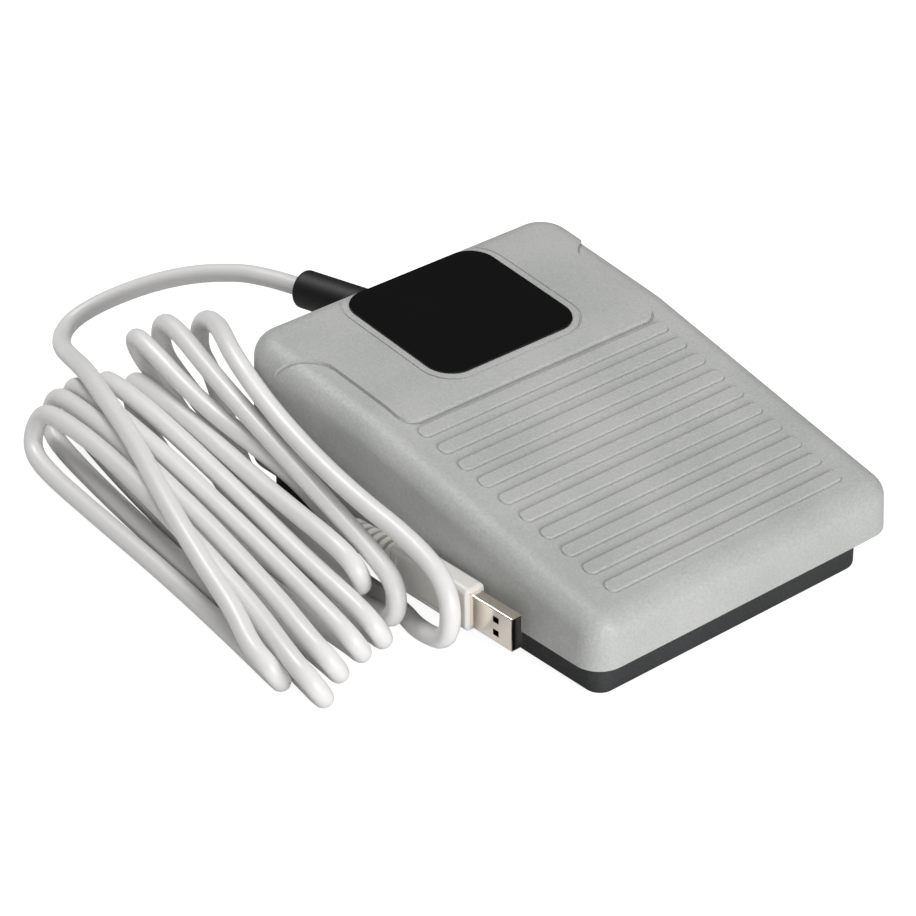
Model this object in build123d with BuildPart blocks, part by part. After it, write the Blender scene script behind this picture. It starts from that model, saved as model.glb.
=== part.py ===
from build123d import *
import math
import os

os.makedirs("parts", exist_ok=True)

# A computer foot pedal: a wide hood tips about a pin at the back and works a micro switch,
# and a cable leaves the back, lies in a loose coil at the left and ends in its plug.
# Millimetres. X runs across, +Y towards the cable, +Z up, the floor is at zero.

# Fits shared by all pieces
running_fit = 0.05
seat_gap = 0.1
part_gap = 0.3
overrun = 1.0

# Hood of the pedal, a hollow moulding open below
cover_length = 175.0
cover_front_half = 64.15
cover_back_half = 68.5
cover_lower_z = 16.4
cover_wall = 2.8
cover_draft = 2.5
cover_front_corner = 9.5
cover_back_corner = 14.0
cover_edge_radius = 7.5
deck_front_z = 33.5
deck_back_z = 61.4
knee_y = 24.0
knee_z = 55.7
knee_radius = 60.0
cover_half = cover_length / 2

# Treads on the front deck
tread_count = 10
tread_first_y = 9.4
tread_pitch = 9.38
tread_width = 4.8
tread_first_half = 52.8
tread_last_half = 49.6
tread_height = 0.8
tread_edge = 0.35

# Raised panel round the label, and the label itself
panel_rise = 1.4
panel_front_y = 14.0
panel_front_half = 54.0
panel_corner = 6.0
panel_turn_y = 50.0
panel_flare_y = 74.0
label_width = 59.5
label_length = 55.9
label_front_y = 24.3
label_corner = 9.5
label_thickness = 0.8
label_proud = 0.45
border_offset = 2.4
border_width = 0.9
border_depth = 0.45

# Hinge at the back, one steel pin through two posts and two lugs
hinge_y = 70.0
hinge_z = 26.0
press_angle = 3.0
pin_radius = 2.5
pin_half = 57.0
pin_chamfer = 0.5
post_inner_x = 41.0
post_thickness = 6.0
post_eye_radius = 7.0
post_foot_half = 11.0
lug_gap = 0.5
lug_thickness = 5.0
lug_eye_radius = 6.5
clip_gap = 0.2
clip_thickness = 0.9
clip_radius = 4.6
clip_bite = 0.5
clip_mouth = 4.2

# Tray under the hood
tray_overhang = 7.4
tray_bottom_z = 1.0
tray_floor = 3.0
tray_wall = 2.5
tray_rim_z = 20.0
tray_corner = 6.0
tray_edge = 2.0
tray_rib = 1.6
tray_rib_height = 3.0
floor_z = tray_bottom_z + tray_floor

# Feet
foot_radius = 7.0
foot_height = 3.0
foot_x = 45.0
foot_y = 68.0
foot_edge = 0.6

# Return springs
spring_x = 35.0
spring_y = -25.0
spring_radius = 6.0
spring_wire = 1.2
spring_turns = 6
spring_seat_z = 8.0
spring_top_z = 38.0
spring_seat_radius = 7.4
spigot_clearance = 0.4
spigot_height = 4.0

# Front buffers that stop the hood
buffer_x = 40.0
buffer_y = -66.0
buffer_radius = 5.0
buffer_height = 4.0
buffer_spigot = 1.6
buffer_post_radius = 7.0

# Micro switch on its bracket
switch_length = 27.8
switch_width = 10.3
switch_height = 15.9
switch_bottom_z = 12.0
switch_hole_pitch = 22.2
switch_hole_rise = 2.9
switch_screw_radius = 1.5
switch_edge = 0.8
bracket_thickness = 3.6
bracket_drop = 4.5
lever_pivot_y = 12.5
lever_thickness = 0.6
lever_width = 5.0
lever_reach = 35.5
lever_eye = 0.9
lever_pivot_rise = 0.2
lever_rest_angle = 8.8
contact_arm = 32.5
plunger_arm = 7.1
plunger_width = 3.4
plunger_depth = 1.8
plunger_tail = 4.5
terminal_width = 6.3
terminal_thickness = 0.8
terminal_drop = 6.4
terminal_hole = 0.8
terminal_pitch = 8.0
presser_half = 1.6
presser_width = 6.0

# Circuit board
board_x = 35.5
board_y = 31.0
board_length = 40.0
board_width = 25.0
board_thickness = 1.6
board_hole_inset = 3.0
board_screw_radius = 1.25
standoff_radius = 3.0
standoff_height = 5.0
board_top_z = floor_z + standoff_height + board_thickness
chip_width = 7.5
chip_length = 12.8
chip_height = 2.2
chip_legs = 10
chip_pitch = 1.27
chip_leg = 0.45
chip_leg_reach = 1.4
chip_leg_thickness = 0.25
crystal_length = 11.0
crystal_width = 4.6
crystal_height = 3.5
crystal_base = 0.5
header_pitch = 2.54
header_height = 6.0
header_width = 5.0
header_pin = 0.64
header_pin_height = 3.5
usb_ways = 4
switch_ways = 2
wire_radius = 0.7

# Cable, its boot and its clamp
cable_radius = 3.3
cable_sides = 8
bore_clearance = 0.15
boot_radius = 6.8
boot_neck_radius = 5.7
boot_flange_radius = 8.8
boot_flange = 2.0
boot_end_edge = 1.6
tower_half = 14.0
tower_front_y = 76.0
tower_top_z = 50.0
tower_corner = 3.0
exit_z = 42.0
clamp_x = -3.0
clamp_y = 31.0
clamp_length = 9.0
clamp_half = 12.5
clamp_thickness = 2.6
clamp_screw_x = 9.4
clamp_screw_radius = 1.5
clamp_boss_radius = 3.2

# Plug
plug_x = -72.2
plug_y = -3.5
plug_z = 20.2
plug_yaw = 2.0
grip_length = 35.5
grip_height = 15.7
grip_thickness = 8.0
grip_corner = 2.2
grip_edge = 0.9
grip_panel_inset = 2.6
grip_panel_depth = 0.35
shell_length = 18.75
shell_height = 12.0
shell_thickness = 4.5
shell_wall = 0.32
shell_corner = 0.5
shell_root = 6.0
window_width = 2.2
window_length = 2.6
window_offset = 2.4
window_from_end = 7.0
tongue_thickness = 1.85
tongue_height = 11.1
tongue_short = 0.6
contact_width = 1.1
contact_pitch = 2.5
contact_thickness = 0.2
contact_length = 10.0
relief_length = 22.5
relief_root_radius = 5.6
relief_tip_radius = 4.7
relief_ribs = 5
relief_groove = 1.7
relief_slot_depth = 1.0

pressed_sin = math.sin(math.radians(press_angle))
deck_angle = math.degrees(math.atan2(knee_z - deck_front_z, knee_y + cover_half))
panel_angle = math.degrees(math.atan2(deck_back_z - knee_z, cover_half - knee_y))


def deck_z(y):
    """Height of the hood's bare top at a distance along the pedal"""
    if y < knee_y:
        return deck_front_z + (y + cover_half) * math.tan(math.radians(deck_angle))
    return knee_z + (y - knee_y) * math.tan(math.radians(panel_angle))


def pressed_drop(y):
    """How far a point of the hood sinks when the pedal is fully down"""
    return (hinge_y - y) * pressed_sin


def save(piece, name):
    """Label a finished piece and write it as one STEP file"""
    piece.label = name
    export_step(piece, f"parts/{name}.step")


def cover_form(inset, lift):
    """Closed form of the hood, drawn in from its faces and moved up at its top"""
    half = cover_half - inset
    with BuildPart() as form:
        with BuildSketch(Plane.XY.offset(cover_lower_z)) as plan:
            with BuildLine():
                Polyline(
                    (-cover_front_half + inset, -half),
                    (cover_front_half - inset, -half),
                    (cover_back_half - inset, half),
                    (-cover_back_half + inset, half),
                    close=True,
                )
            make_face()
            fillet(plan.vertices().group_by(Axis.Y)[0], cover_front_corner - inset)
            fillet(plan.vertices().group_by(Axis.Y)[-1], cover_back_corner - inset)
        extrude(amount=deck_back_z, taper=cover_draft)
        with BuildSketch(Plane.YZ) as side:
            with BuildLine():
                Polyline(
                    (-cover_half - overrun, 0),
                    (-cover_half - overrun, deck_z(-cover_half - overrun) - inset + lift),
                    (knee_y, knee_z - inset + lift),
                    (cover_half + overrun, deck_z(cover_half + overrun) - inset + lift),
                    (cover_half + overrun, 0),
                    close=True,
                )
            make_face()
            fillet(side.vertices().sort_by_distance((knee_y, knee_z))[0], knee_radius)
        extrude(amount=cover_back_half, both=True, mode=Mode.INTERSECT)
        top_faces = [f for f in form.faces() if f.normal_at().Z > math.cos(math.radians(deck_angle * 2))]
        rim = [
            edge
            for face in top_faces
            for edge in face.edges()
            if sum(edge in other.edges() for other in top_faces) == 1
        ]
        fillet(rim, cover_edge_radius - inset)
    return form.part


cover_outside = cover_form(0, 0)
cover_inside = cover_form(cover_wall, 0)
cover_middle = cover_form(cover_wall / 2, 0)
cover_raised = cover_form(0, panel_rise)

deck_plane = Plane(
    origin=(0, -cover_half, deck_front_z),
    x_dir=(1, 0, 0),
    z_dir=(0, -math.sin(math.radians(deck_angle)), math.cos(math.radians(deck_angle))),
)
panel_up = (0, -math.sin(math.radians(panel_angle)), math.cos(math.radians(panel_angle)))
label_centre_y = label_front_y + label_length / 2 * math.cos(math.radians(panel_angle))
panel_plane = Plane(
    origin=(0, label_centre_y, deck_z(label_centre_y) + panel_rise),
    x_dir=(1, 0, 0),
    z_dir=panel_up,
)

# Treads, rounded bars that rise from the front deck
with BuildPart() as treads:
    with BuildSketch(deck_plane.offset(-tread_height)):
        for number in range(tread_count):
            run = (tread_first_y + cover_half - number * tread_pitch) / math.cos(math.radians(deck_angle))
            half = tread_first_half + (tread_last_half - tread_first_half) * number / (tread_count - 1)
            with Locations((0, run)):
                SlotOverall(2 * half, tread_width)
    extrude(amount=2 * tread_height)
    fillet(treads.faces().sort_by(Axis((0, 0, 0), deck_plane.z_dir)).group_by(
        lambda face: round(face.center().dot(deck_plane.z_dir), 3))[-1].edges(), tread_edge)

# Raised panel, whose sides flare out to the full width at the back
with BuildPart() as panel:
    with BuildSketch(Plane.XY) as panel_plan:
        with BuildLine():
            front = Polyline(
                (-panel_front_half, panel_turn_y),
                (-panel_front_half, panel_front_y),
                (panel_front_half, panel_front_y),
                (panel_front_half, panel_turn_y),
            )
            right = Spline(
                front @ 1, (cover_back_half, panel_flare_y), tangents=((0, 1), (0, 1)))
            back = Polyline(
                right @ 1,
                (cover_back_half, cover_half + overrun),
                (-cover_back_half, cover_half + overrun),
                (-cover_back_half, panel_flare_y),
            )
            Spline(back @ 1, front @ 0, tangents=((0, -1), (0, -1)))
        make_face()
        fillet(panel_plan.vertices().group_by(Axis.Y)[0], panel_corner)
    extrude(amount=deck_back_z * 2)
    add(cover_raised, mode=Mode.INTERSECT)

# Fittings moulded inside the hood: hinge lugs, presser of the switch, spring caps,
# stop pads over the buffers and stop ribs that rest on the tray's back rim
presser_y = lever_pivot_y - contact_arm
switch_top_z = switch_bottom_z + switch_height
lever_pivot_z = switch_top_z + lever_pivot_rise
lever_slope = math.tan(math.radians(lever_rest_angle))
presser_tip_z = lever_pivot_z + contact_arm * lever_slope + lever_thickness + lever_pivot_rise
buffer_top_z = deck_z(buffer_y - buffer_radius) - cover_wall * 2 - pressed_drop(buffer_y - buffer_radius)
lug_x = post_inner_x + post_thickness + lug_gap
stop_rib_x = 30.0
stop_rib_thickness = 3.0
stiffener_thickness = 1.8
stiffener_drop = 5.0
stiffener_x = 18.0
stiffener_y = 44.0
tray_half_y = cover_half - tray_overhang
with BuildPart() as fittings:
    for side_sign in (-1, 1):
        with BuildSketch(Plane.YZ.offset(side_sign * lug_x)):
            with Locations((hinge_y, hinge_z)):
                Circle(lug_eye_radius)
            with Locations((hinge_y, (hinge_z + deck_back_z) / 2)):
                Rectangle(lug_eye_radius * 2, deck_back_z - hinge_z)
        extrude(amount=side_sign * lug_thickness)
    with BuildSketch(Plane.XY.offset(spring_top_z)):
        with Locations((-spring_x, spring_y), (spring_x, spring_y)):
            Circle(spring_seat_radius)
    extrude(amount=deck_back_z - spring_top_z)
    with BuildSketch(Plane.XY.offset(buffer_top_z + pressed_drop(buffer_y) + part_gap)):
        with Locations((-buffer_x, buffer_y), (buffer_x, buffer_y)):
            Circle(buffer_radius)
    extrude(amount=deck_back_z - buffer_top_z)
    with BuildSketch(Plane.YZ.offset(-presser_width / 2)):
        with Locations((presser_y, presser_tip_z + presser_half)):
            Circle(presser_half)
        with Locations((presser_y, (presser_tip_z + presser_half + deck_back_z) / 2)):
            Rectangle(presser_half * 2, deck_back_z - presser_tip_z - presser_half)
    extrude(amount=presser_width)
    with BuildSketch(Plane.XY.offset(tray_rim_z + seat_gap)):
        with Locations((-stop_rib_x, cover_half), (stop_rib_x, cover_half)):
            Rectangle(stop_rib_thickness, (tray_overhang + tray_wall) * 2)
    extrude(amount=deck_back_z - tray_rim_z)
    add(cover_middle, mode=Mode.INTERSECT)
    with BuildSketch(Plane.YZ.offset(-lug_x - lug_thickness - overrun)):
        with Locations((hinge_y, hinge_z)):
            Circle(pin_radius + running_fit)
    extrude(amount=2 * (lug_x + lug_thickness + overrun), mode=Mode.SUBTRACT)
    with BuildSketch(Plane.XY.offset(spring_top_z)):
        with Locations((-spring_x, spring_y), (spring_x, spring_y)):
            Circle(spring_radius - spring_wire - spigot_clearance)
    extrude(amount=-spigot_height)

# Stiffening webs under the deck, a shallow grid that clears what stands below
with BuildPart() as webs:
    with BuildSketch(Plane.XY.offset(cover_lower_z)):
        with Locations((-stiffener_x, 0), (stiffener_x, 0)):
            Rectangle(stiffener_thickness, 2 * (tray_half_y - 2 * tray_wall))
        with Locations((0, -stiffener_y), (0, stiffener_y)):
            Rectangle(2 * cover_back_half, stiffener_thickness)
    extrude(amount=deck_back_z)
    add(cover_middle, mode=Mode.INTERSECT)
    add(cover_inside.moved(Location((0, 0, -stiffener_drop))), mode=Mode.SUBTRACT)

# Hood
notch_half = 10.0
notch_top_z = 50.0
with BuildPart() as pedal_cover:
    add(cover_outside)
    add(panel.part)
    add(treads.part)
    add(cover_inside, mode=Mode.SUBTRACT)
    add(fittings.part)
    add(webs.part)
    with BuildSketch(panel_plane.offset(label_proud - label_thickness - seat_gap)):
        RectangleRounded(label_width + 2 * seat_gap, label_length + 2 * seat_gap, label_corner)
    extrude(amount=label_thickness + overrun, mode=Mode.SUBTRACT)
    with BuildSketch(panel_plane.offset(-border_depth)):
        RectangleRounded(
            label_width + 2 * (border_offset + border_width),
            label_length + 2 * (border_offset + border_width),
            label_corner + border_offset + border_width,
        )
        RectangleRounded(
            label_width + 2 * border_offset,
            label_length + 2 * border_offset,
            label_corner + border_offset,
            mode=Mode.SUBTRACT,
        )
    extrude(amount=border_depth + overrun, mode=Mode.SUBTRACT)
    with BuildSketch(Plane.XZ.offset(-cover_half - overrun)):
        with Locations((0, notch_top_z - notch_half)):
            Circle(notch_half)
        with Locations((0, (notch_top_z - notch_half) / 2)):
            Rectangle(2 * notch_half, notch_top_z - notch_half)
    extrude(amount=cover_wall * 2 + overrun, mode=Mode.SUBTRACT)
save(pedal_cover.part, "pedal_cover")

# Label plate, bare and near black
with BuildPart() as label_plate:
    with BuildSketch(panel_plane.offset(label_proud - label_thickness)):
        RectangleRounded(label_width, label_length, label_corner)
    extrude(amount=label_thickness)
save(label_plate.part, "label_plate")

# Tray: a shallow tub with the posts, seats and pillars that carry everything else
tray_front_half = cover_front_half - tray_overhang
tray_back_half = cover_back_half - tray_overhang


def tray_outline(inset):
    """Plan of the tray, drawn in from its outside"""
    half = tray_half_y - inset
    with BuildSketch() as outline:
        with BuildLine():
            Polyline(
                (-tray_front_half + inset, -half),
                (tray_front_half - inset, -half),
                (tray_back_half - inset, half),
                (-tray_back_half + inset, half),
                close=True,
            )
        make_face()
        fillet(outline.vertices(), tray_corner - inset)
    return outline.sketch


buffer_post_top = buffer_top_z - buffer_height
bracket_x = switch_width / 2 + seat_gap
bracket_top_z = switch_bottom_z + switch_height - bracket_drop
screw_low_z = switch_bottom_z + switch_hole_rise
board_holes = [
    (
        board_x + sx * (board_length / 2 - board_hole_inset),
        board_y + sy * (board_width / 2 - board_hole_inset),
    )
    for sx in (-1, 1)
    for sy in (-1, 1)
]
with BuildPart() as base_tray:
    with BuildSketch(Plane.XY.offset(tray_bottom_z)):
        add(tray_outline(0))
    extrude(amount=tray_rim_z - tray_bottom_z)
    fillet(base_tray.edges().group_by(Axis.Z)[0], tray_edge)
    with BuildSketch(Plane.XY.offset(floor_z)):
        add(tray_outline(tray_wall))
    extrude(amount=tray_rim_z, mode=Mode.SUBTRACT)
    # Webs that stiffen the floor
    with BuildSketch(Plane.XY.offset(floor_z)):
        with Locations((-spring_x, 0), (spring_x, 0)):
            Rectangle(tray_rib, 2 * (tray_half_y - tray_wall))
        with Locations((0, -foot_y / 2), (0, -foot_y)):
            Rectangle(2 * spring_x, tray_rib)
    extrude(amount=tray_rib_height)
    # Hinge posts
    for side_sign in (-1, 1):
        with BuildSketch(Plane.YZ.offset(side_sign * post_inner_x)):
            with BuildLine():
                Polyline(
                    (hinge_y - post_foot_half, floor_z),
                    (hinge_y - post_eye_radius, hinge_z),
                    (hinge_y + post_eye_radius, hinge_z),
                    (tray_half_y - tray_wall, floor_z),
                    close=True,
                )
            make_face()
            with Locations((hinge_y, hinge_z)):
                Circle(post_eye_radius)
        extrude(amount=side_sign * post_thickness)
    with BuildSketch(Plane.YZ.offset(-post_inner_x - post_thickness - overrun)):
        with Locations((hinge_y, hinge_z)):
            Circle(pin_radius + running_fit)
    extrude(amount=2 * (post_inner_x + post_thickness + overrun), mode=Mode.SUBTRACT)
    # Spring seats, each with its spigot
    with BuildSketch(Plane.XY.offset(floor_z)):
        with Locations((-spring_x, spring_y), (spring_x, spring_y)):
            Circle(spring_seat_radius)
    extrude(amount=spring_seat_z - floor_z)
    with BuildSketch(Plane.XY.offset(spring_seat_z)):
        with Locations((-spring_x, spring_y), (spring_x, spring_y)):
            Circle(spring_radius - spring_wire - spigot_clearance)
    extrude(amount=spigot_height)
    # Buffer posts, bored for the buffers' stems
    with BuildSketch(Plane.XY.offset(floor_z)):
        with Locations((-buffer_x, buffer_y), (buffer_x, buffer_y)):
            Circle(buffer_post_radius)
            Circle(buffer_spigot + running_fit, mode=Mode.SUBTRACT)
    extrude(amount=buffer_post_top - floor_z)
    # Bracket of the switch
    with BuildSketch(Plane.XY.offset(floor_z)):
        with Locations((bracket_x + bracket_thickness / 2, 0)):
            Rectangle(bracket_thickness, switch_length)
        with Locations((bracket_x + bracket_thickness * 2, 0)):
            Rectangle(bracket_thickness * 2, tray_rib * 2)
    extrude(amount=bracket_top_z - floor_z)
    with BuildSketch(Plane.YZ.offset(bracket_x - overrun)):
        with Locations((-switch_hole_pitch / 2, screw_low_z), (switch_hole_pitch / 2, screw_low_z)):
            Circle(switch_screw_radius + running_fit)
    extrude(amount=bracket_thickness + overrun * 2, mode=Mode.SUBTRACT)
    # Standoffs of the board
    with BuildSketch(Plane.XY.offset(floor_z)):
        with Locations(*board_holes):
            Circle(standoff_radius)
            Circle(board_screw_radius + running_fit, mode=Mode.SUBTRACT)
    extrude(amount=standoff_height)
    # Bosses of the cable clamp
    with BuildSketch(Plane.XY.offset(floor_z)):
        with Locations((clamp_x - clamp_screw_x, clamp_y), (clamp_x + clamp_screw_x, clamp_y)):
            Circle(clamp_boss_radius)
            Circle(clamp_screw_radius + running_fit, mode=Mode.SUBTRACT)
    extrude(amount=cable_radius)
    # Tower that holds the boot, slotted from above
    with BuildSketch(Plane.XZ.offset(-tray_half_y)) as tower_face:
        with Locations((0, (floor_z + tower_top_z) / 2)):
            Rectangle(2 * tower_half, tower_top_z - floor_z)
        fillet(tower_face.vertices().group_by(Axis.Y)[-1], tower_corner)
        with Locations((0, exit_z)):
            Circle(boot_neck_radius + seat_gap, mode=Mode.SUBTRACT)
        with Locations((0, exit_z + tower_top_z / 2)):
            Rectangle(2 * (boot_neck_radius + seat_gap), tower_top_z, mode=Mode.SUBTRACT)
    extrude(amount=tray_half_y - tower_front_y)
    # Foot pockets
    with BuildSketch(Plane.XY.offset(tray_bottom_z)):
        with GridLocations(2 * foot_x, 2 * foot_y, 2, 2):
            Circle(foot_radius + seat_gap)
    extrude(amount=foot_height - tray_bottom_z + seat_gap, mode=Mode.SUBTRACT)
save(base_tray.part, "base_tray")

# Feet and buffers, soft rubber
with BuildPart() as rubber_feet:
    with BuildSketch(Plane.XY):
        with GridLocations(2 * foot_x, 2 * foot_y, 2, 2):
            Circle(foot_radius)
    extrude(amount=foot_height)
    chamfer(rubber_feet.edges().group_by(Axis.Z)[0], foot_edge)
save(rubber_feet.part, "rubber_feet")

with BuildPart() as stop_buffers:
    with BuildSketch(Plane.XY.offset(buffer_post_top)):
        with Locations((-buffer_x, buffer_y), (buffer_x, buffer_y)):
            Circle(buffer_radius)
    extrude(amount=buffer_height)
    fillet(stop_buffers.edges().group_by(Axis.Z)[-1], foot_edge)
    with BuildSketch(Plane.XY.offset(buffer_post_top)):
        with Locations((-buffer_x, buffer_y), (buffer_x, buffer_y)):
            Circle(buffer_spigot)
    extrude(amount=-buffer_height)
save(stop_buffers.part, "stop_buffers")

# Hinge pin with a groove near each end, and its clips
clip_x = lug_x + lug_thickness + clip_gap
with BuildPart() as hinge_pin:
    with BuildSketch(Plane.YZ.offset(-pin_half)):
        with Locations((hinge_y, hinge_z)):
            Circle(pin_radius)
    extrude(amount=2 * pin_half)
    chamfer(hinge_pin.edges().filter_by(GeomType.CIRCLE), pin_chamfer)
    for side_sign in (-1, 1):
        with BuildSketch(Plane.YZ.offset(side_sign * clip_x)):
            with Locations((hinge_y, hinge_z)):
                Circle(pin_radius + overrun)
                Circle(pin_radius - clip_bite, mode=Mode.SUBTRACT)
        extrude(amount=side_sign * (clip_thickness + seat_gap), mode=Mode.SUBTRACT)
save(hinge_pin.part, "hinge_pin")

with BuildPart() as hinge_pin_clips:
    for side_sign in (-1, 1):
        with BuildSketch(Plane.YZ.offset(side_sign * (clip_x + seat_gap / 2))):
            with Locations((hinge_y, hinge_z)):
                Circle(clip_radius)
                Circle(pin_radius - clip_bite + running_fit, mode=Mode.SUBTRACT)
            with Locations((hinge_y, hinge_z - clip_radius)):
                Rectangle(clip_mouth * pin_radius / clip_radius, 2 * clip_radius, mode=Mode.SUBTRACT)
        extrude(amount=side_sign * clip_thickness)
save(hinge_pin_clips.part, "hinge_pin_clips")

# Micro switch: case, plunger, lever, terminals and the screws that hold it
slot_reach = lever_eye + part_gap
with BuildPart() as micro_switch_case:
    with BuildSketch(Plane.YZ.offset(-switch_width / 2)) as outline:
        with Locations((0, switch_bottom_z + switch_height / 2)):
            Rectangle(switch_length, switch_height)
        chamfer(outline.vertices(), switch_edge)
        with Locations((-switch_hole_pitch / 2, screw_low_z), (switch_hole_pitch / 2, screw_low_z)):
            Circle(switch_screw_radius + running_fit, mode=Mode.SUBTRACT)
    extrude(amount=switch_width)
    with BuildSketch(Plane.YZ.offset(-lever_width / 2 - seat_gap * 2)):
        with Locations((lever_pivot_y, lever_pivot_z)):
            Circle(slot_reach)
        with Locations((lever_pivot_y, lever_pivot_z + slot_reach)):
            Rectangle(2 * slot_reach, 2 * slot_reach)
    extrude(amount=lever_width + seat_gap * 4, mode=Mode.SUBTRACT)
    with BuildSketch(Plane.XY.offset(switch_top_z)):
        with Locations((0, lever_pivot_y - plunger_arm)):
            Rectangle(plunger_width + 2 * running_fit, plunger_depth + 2 * running_fit)
    extrude(amount=-plunger_tail - 2 * overrun, mode=Mode.SUBTRACT)
    with BuildSketch(Plane.XY.offset(switch_bottom_z)):
        for share in (-1, 0, 1):
            with Locations((0, share * terminal_pitch)):
                Rectangle(terminal_width + 2 * running_fit, terminal_thickness + 2 * running_fit)
    extrude(amount=terminal_drop / 2, mode=Mode.SUBTRACT)
save(micro_switch_case.part, "micro_switch_case")

plunger_top_z = lever_pivot_z + plunger_arm * lever_slope - seat_gap
with BuildPart() as micro_switch_plunger:
    with BuildSketch(Plane.XY.offset(switch_top_z - plunger_tail)):
        with Locations((0, lever_pivot_y - plunger_arm)):
            Rectangle(plunger_width, plunger_depth)
    extrude(amount=plunger_top_z - switch_top_z + plunger_tail)
    fillet(micro_switch_plunger.edges().group_by(Axis.Z)[-1].filter_by(Axis.X), plunger_depth / 3)
save(micro_switch_plunger.part, "micro_switch_plunger")

with BuildPart() as micro_switch_lever:
    lever_plane = Plane(
        origin=(-lever_width / 2, lever_pivot_y, lever_pivot_z),
        x_dir=(0, -math.cos(math.radians(lever_rest_angle)), math.sin(math.radians(lever_rest_angle))),
        z_dir=(1, 0, 0),
    )
    with BuildSketch(lever_plane):
        Circle(lever_eye)
        with Locations((lever_reach / 2, -lever_thickness / 2)):
            Rectangle(lever_reach, lever_thickness)
        with Locations((lever_reach, -lever_thickness)):
            Circle(lever_thickness)
    extrude(amount=lever_width)
save(micro_switch_lever.part, "micro_switch_lever")

with BuildPart() as micro_switch_terminals:
    with BuildSketch(Plane.XY.offset(switch_bottom_z - terminal_drop)):
        for share in (-1, 0, 1):
            with Locations((0, share * terminal_pitch)):
                Rectangle(terminal_width, terminal_thickness)
    extrude(amount=terminal_drop + terminal_drop / 2 - seat_gap)
    with BuildSketch(Plane.XZ.offset(-switch_length)):
        with Locations((0, switch_bottom_z - terminal_drop + 2 * terminal_hole)):
            Circle(terminal_hole)
    extrude(amount=2 * switch_length, mode=Mode.SUBTRACT)
save(micro_switch_terminals.part, "micro_switch_terminals")


def screw(plane, shank_radius, shank_length):
    """Pan head screw whose head rests on the plane and whose shank runs down from it"""
    head_radius = 1.9 * shank_radius
    head_height = 1.3 * shank_radius
    slot = 0.5 * shank_radius
    with BuildPart() as one:
        with BuildSketch(Plane.XY):
            Circle(head_radius)
        extrude(amount=head_height)
        fillet(one.edges().group_by(Axis.Z)[-1], head_height / 2)
        with BuildSketch(Plane.XY.offset(head_height / 2)):
            Rectangle(2 * shank_radius, slot)
            Rectangle(slot, 2 * shank_radius)
        extrude(amount=head_height, mode=Mode.SUBTRACT)
        with BuildSketch(Plane.XY):
            Circle(shank_radius)
        extrude(amount=-shank_length)
    return one.part.moved(plane.location)


switch_screw_length = switch_width + bracket_thickness + seat_gap
with BuildPart() as micro_switch_screws:
    for end_sign in (-1, 1):
        head_plane = Plane(
            origin=(-switch_width / 2, end_sign * switch_hole_pitch / 2, screw_low_z),
            x_dir=(0, 1, 0),
            z_dir=(-1, 0, 0),
        )
        add(screw(head_plane, switch_screw_radius, switch_screw_length))
save(micro_switch_screws.part, "micro_switch_screws")

# Board with its chip, crystal, headers, small parts and screws
with BuildPart() as circuit_board:
    with BuildSketch(Plane.XY.offset(floor_z + standoff_height)):
        with Locations((board_x, board_y)):
            Rectangle(board_length, board_width)
        with Locations(*board_holes):
            Circle(board_screw_radius + running_fit, mode=Mode.SUBTRACT)
    extrude(amount=board_thickness)
save(circuit_board.part, "circuit_board")

board_top = Plane.XY.offset(board_top_z)
with BuildPart() as controller_chip:
    with BuildSketch(board_top.offset(chip_leg_thickness)):
        with Locations((board_x, board_y)):
            Rectangle(chip_length, chip_width)
    extrude(amount=chip_height)
    chamfer(controller_chip.edges().group_by(Axis.Z)[-1], chip_leg)
    with BuildSketch(board_top):
        with Locations((board_x, board_y)):
            with GridLocations(chip_pitch, chip_width + chip_leg_reach, chip_legs, 2):
                Rectangle(chip_leg, chip_leg_reach + overrun)
    extrude(amount=chip_height / 2)
save(controller_chip.part, "controller_chip")

crystal_x = board_x - (chip_length + crystal_width) / 2 - header_pin * 2
with BuildPart() as crystal:
    with BuildSketch(board_top):
        with Locations((crystal_x, board_y)):
            SlotOverall(crystal_length, crystal_width, rotation=90)
    extrude(amount=crystal_base)
    with BuildSketch(board_top.offset(crystal_base)):
        with Locations((crystal_x, board_y)):
            SlotOverall(crystal_length - crystal_base * 2, crystal_width - crystal_base * 2, rotation=90)
    extrude(amount=crystal_height)
    fillet(crystal.edges().group_by(Axis.Z)[-1], crystal_base)
save(crystal.part, "crystal")

usb_header_x = board_x - board_length / 2 + header_width / 2 + 2 * header_pin
switch_header_x = crystal_x + header_width
switch_header_y = board_y - board_width / 2 + header_width / 2 + header_pin
with BuildPart() as board_headers:
    with BuildSketch(board_top):
        with Locations((usb_header_x, board_y)):
            Rectangle(header_width, usb_ways * header_pitch)
        with Locations((switch_header_x, switch_header_y)):
            Rectangle(switch_ways * header_pitch, header_width)
    extrude(amount=header_height)
    with BuildSketch(board_top.offset(header_height)):
        with Locations((usb_header_x, board_y)):
            with GridLocations(header_pitch, header_pitch, 1, usb_ways):
                Rectangle(header_pin, header_pin)
        with Locations((switch_header_x, switch_header_y)):
            with GridLocations(header_pitch, header_pitch, switch_ways, 1):
                Rectangle(header_pin, header_pin)
    extrude(amount=header_pin_height)
save(board_headers.part, "board_headers")

small_part = 1.6
small_part_height = 0.8
small_part_x = board_x + board_length / 3
capacitor_radius = 2.5
capacitor_height = 7.0
with BuildPart() as board_components:
    with BuildSketch(board_top):
        with Locations((small_part_x, board_y)):
            with GridLocations(small_part * 2, small_part * 2, 2, 3):
                Rectangle(small_part, small_part / 2)
    extrude(amount=small_part_height)
    with BuildSketch(board_top):
        with Locations((small_part_x - 2 * capacitor_radius, board_y - board_width / 3)):
            Circle(capacitor_radius)
    extrude(amount=capacitor_height)
    fillet(board_components.edges().group_by(Axis.Z)[-1], capacitor_radius / 8)
save(board_components.part, "board_components")

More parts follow.
